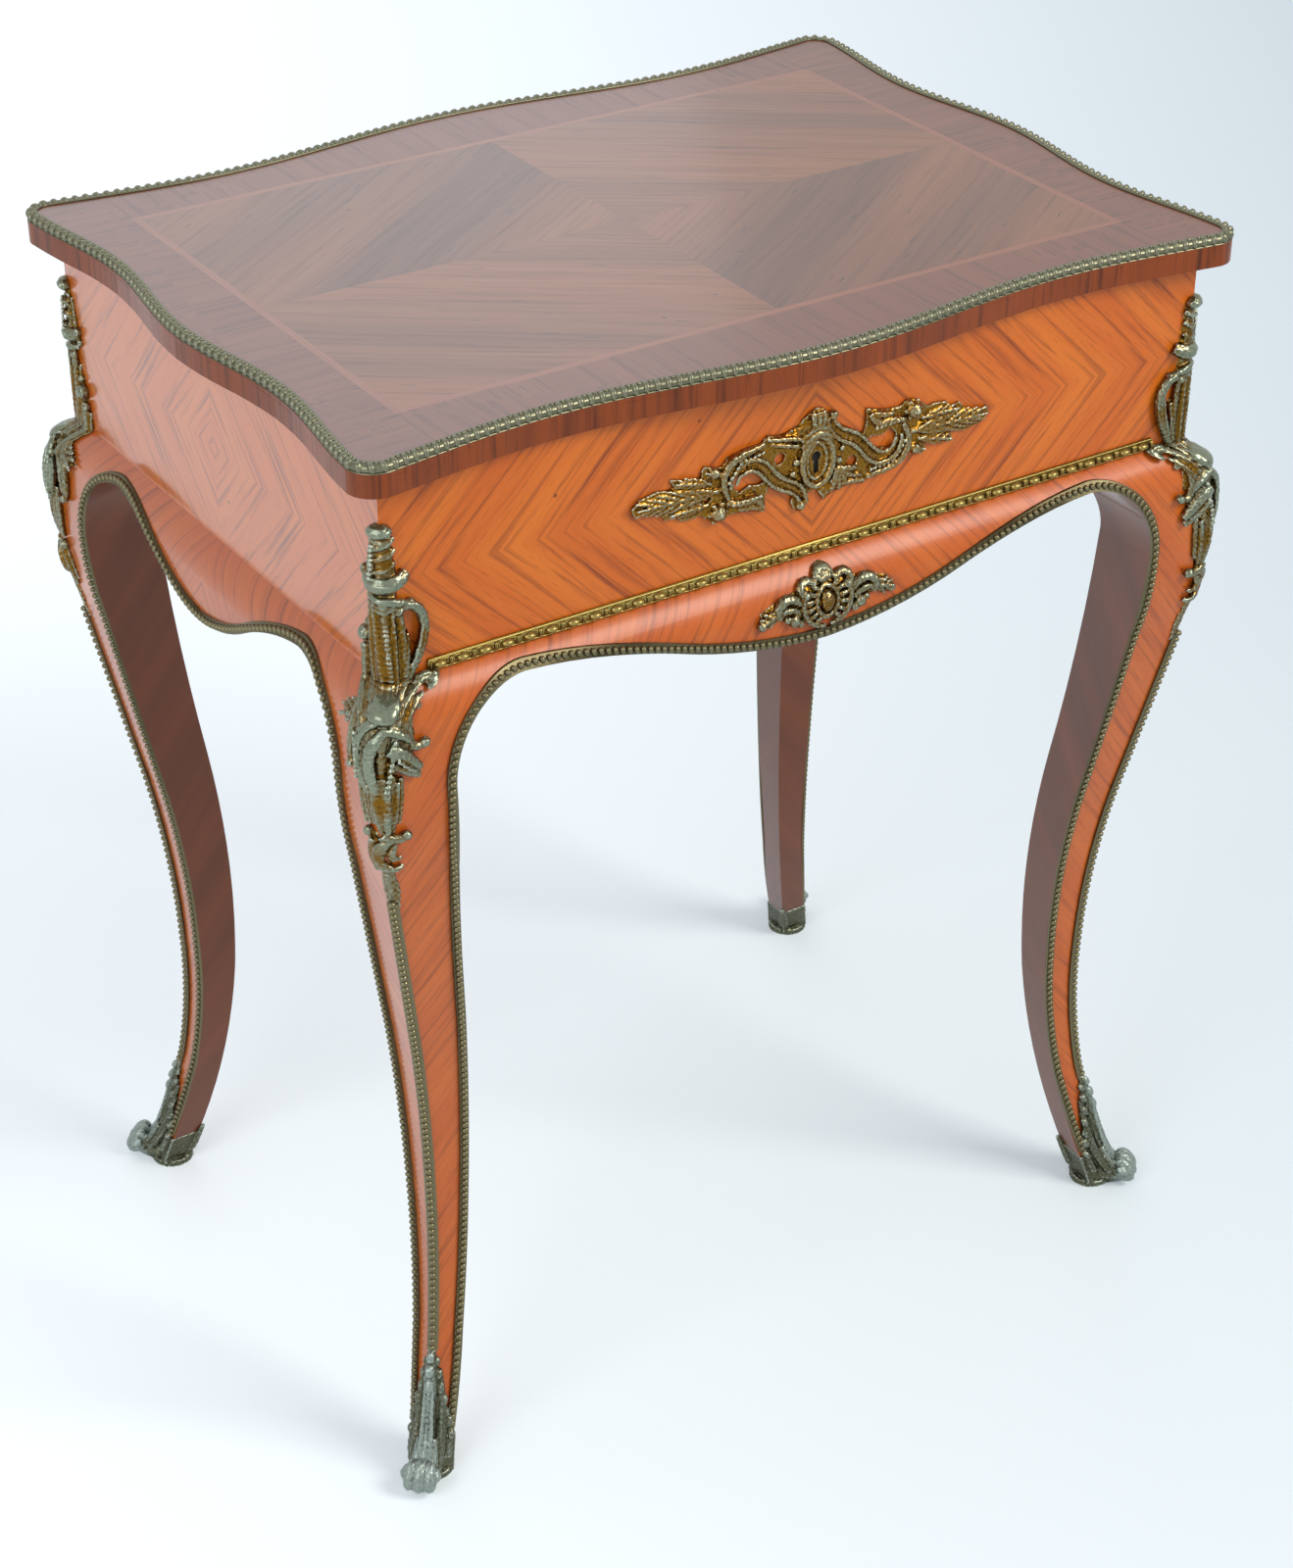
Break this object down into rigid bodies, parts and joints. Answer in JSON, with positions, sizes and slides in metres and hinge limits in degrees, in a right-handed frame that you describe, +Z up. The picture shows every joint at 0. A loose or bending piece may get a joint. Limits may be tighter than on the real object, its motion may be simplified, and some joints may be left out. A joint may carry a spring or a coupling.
{
  "type": "dressing table",
  "caption": "Lift-top dressing table with a serpentine veneered lid, mirror inside, pierced escutcheon, swelling aprons and cabriole legs with cast corner mounts and scroll feet.",
  "frame": {"origin": "on the floor under the middle of the table", "axes": "+X to the right seen from the front, +Y towards the back where the lid is hinged, +Z up"},
  "size_m": [0.616, 0.4522, 0.7405],
  "materials": {
    "leg_veneer": "kingwood veneer over a solid leg, waxed and worn",
    "frieze_kingwood": "kingwood veneer laid on the slant, glossy polish",
    "top_kingwood": "quartered kingwood veneer, glossy old polish with small dents",
    "stringing_wood": "straight-grained dark wood line, glossy polish",
    "carcase_oak": "plain oak, unpolished",
    "mount_bronze": "cast gilt bronze, worn, with a grey-green patina",
    "sabot_bronze": "cast gilt bronze, dark and dulled",
    "strip_brass": "thin brass strip, dull",
    "hinge_brass": "plain brass, satin",
    "lock_steel": "plain steel, satin",
    "mirror_glass": "silvered glass",
    "mirror_frame_wood": "thin kingwood frame, waxed"
  },
  "bodies": {
    "table": {"leg_back_right": "leg_veneer", "leg_back_left": "leg_veneer", "leg_front_right": "leg_veneer", "leg_front_left": "leg_veneer", "apron_back": "frieze_kingwood", "apron_front": "frieze_kingwood", "apron_right": "frieze_kingwood", "apron_left": "frieze_kingwood", "frieze_veneer_back": "frieze_kingwood", "frieze_veneer_front": "frieze_kingwood", "frieze_veneer_right": "frieze_kingwood", "frieze_veneer_left": "frieze_kingwood", "frieze_rail_back": "carcase_oak", "frieze_rail_front": "carcase_oak", "frieze_rail_right": "carcase_oak", "frieze_rail_left": "carcase_oak", "well_bottom": "carcase_oak", "divider_left": "carcase_oak", "divider_right": "carcase_oak", "divider_middle": "carcase_oak", "corner_mount_back_right": "mount_bronze", "corner_mount_back_left": "mount_bronze", "corner_mount_front_right": "mount_bronze", "corner_mount_front_left": "mount_bronze", "escutcheon": "mount_bronze", "apron_cartouche": "mount_bronze", "frieze_moulding": "mount_bronze", "sabot_back_right": "sabot_bronze", "sabot_back_left": "sabot_bronze", "sabot_front_right": "sabot_bronze", "sabot_front_left": "sabot_bronze", "corner_strip_back_right": "strip_brass", "corner_strip_back_left": "strip_brass", "corner_strip_front_right": "strip_brass", "corner_strip_front_left": "strip_brass", "apron_edging_back": "strip_brass", "apron_edging_front": "strip_brass", "apron_edging_right": "strip_brass", "apron_edging_left": "strip_brass", "hinge_case_leaf_left": "hinge_brass", "hinge_pin_left": "lock_steel", "hinge_case_leaf_right": "hinge_brass", "hinge_pin_right": "lock_steel", "lock_case": "lock_steel", "lock_cap": "lock_steel"},
    "lid": {"lid_board": "carcase_oak", "lid_field_veneer": "top_kingwood", "lid_stringing": "stringing_wood", "lid_crossbanding": "top_kingwood", "lid_edge_veneer": "top_kingwood", "rim_moulding": "mount_bronze", "mirror_glass": "mirror_glass", "mirror_frame": "mirror_frame_wood", "hinge_lid_leaf_left": "hinge_brass", "hinge_lid_leaf_right": "hinge_brass", "lid_strike": "lock_steel"},
    "lock_bolt": {"lock_bolt": "lock_steel"}
  },
  "joints": [
    {"name": "lid_hinge", "type": "hinge", "parent": "table", "child": "lid", "pos_m": [0, 0.2063, 0.72], "axis": [-1, 0, 0], "range_deg": [0, 95]},
    {"name": "bolt_slide", "type": "slide", "parent": "table", "child": "lock_bolt", "axis": [1, 0, 0], "range_m": [0, 0.007]}
  ]
}
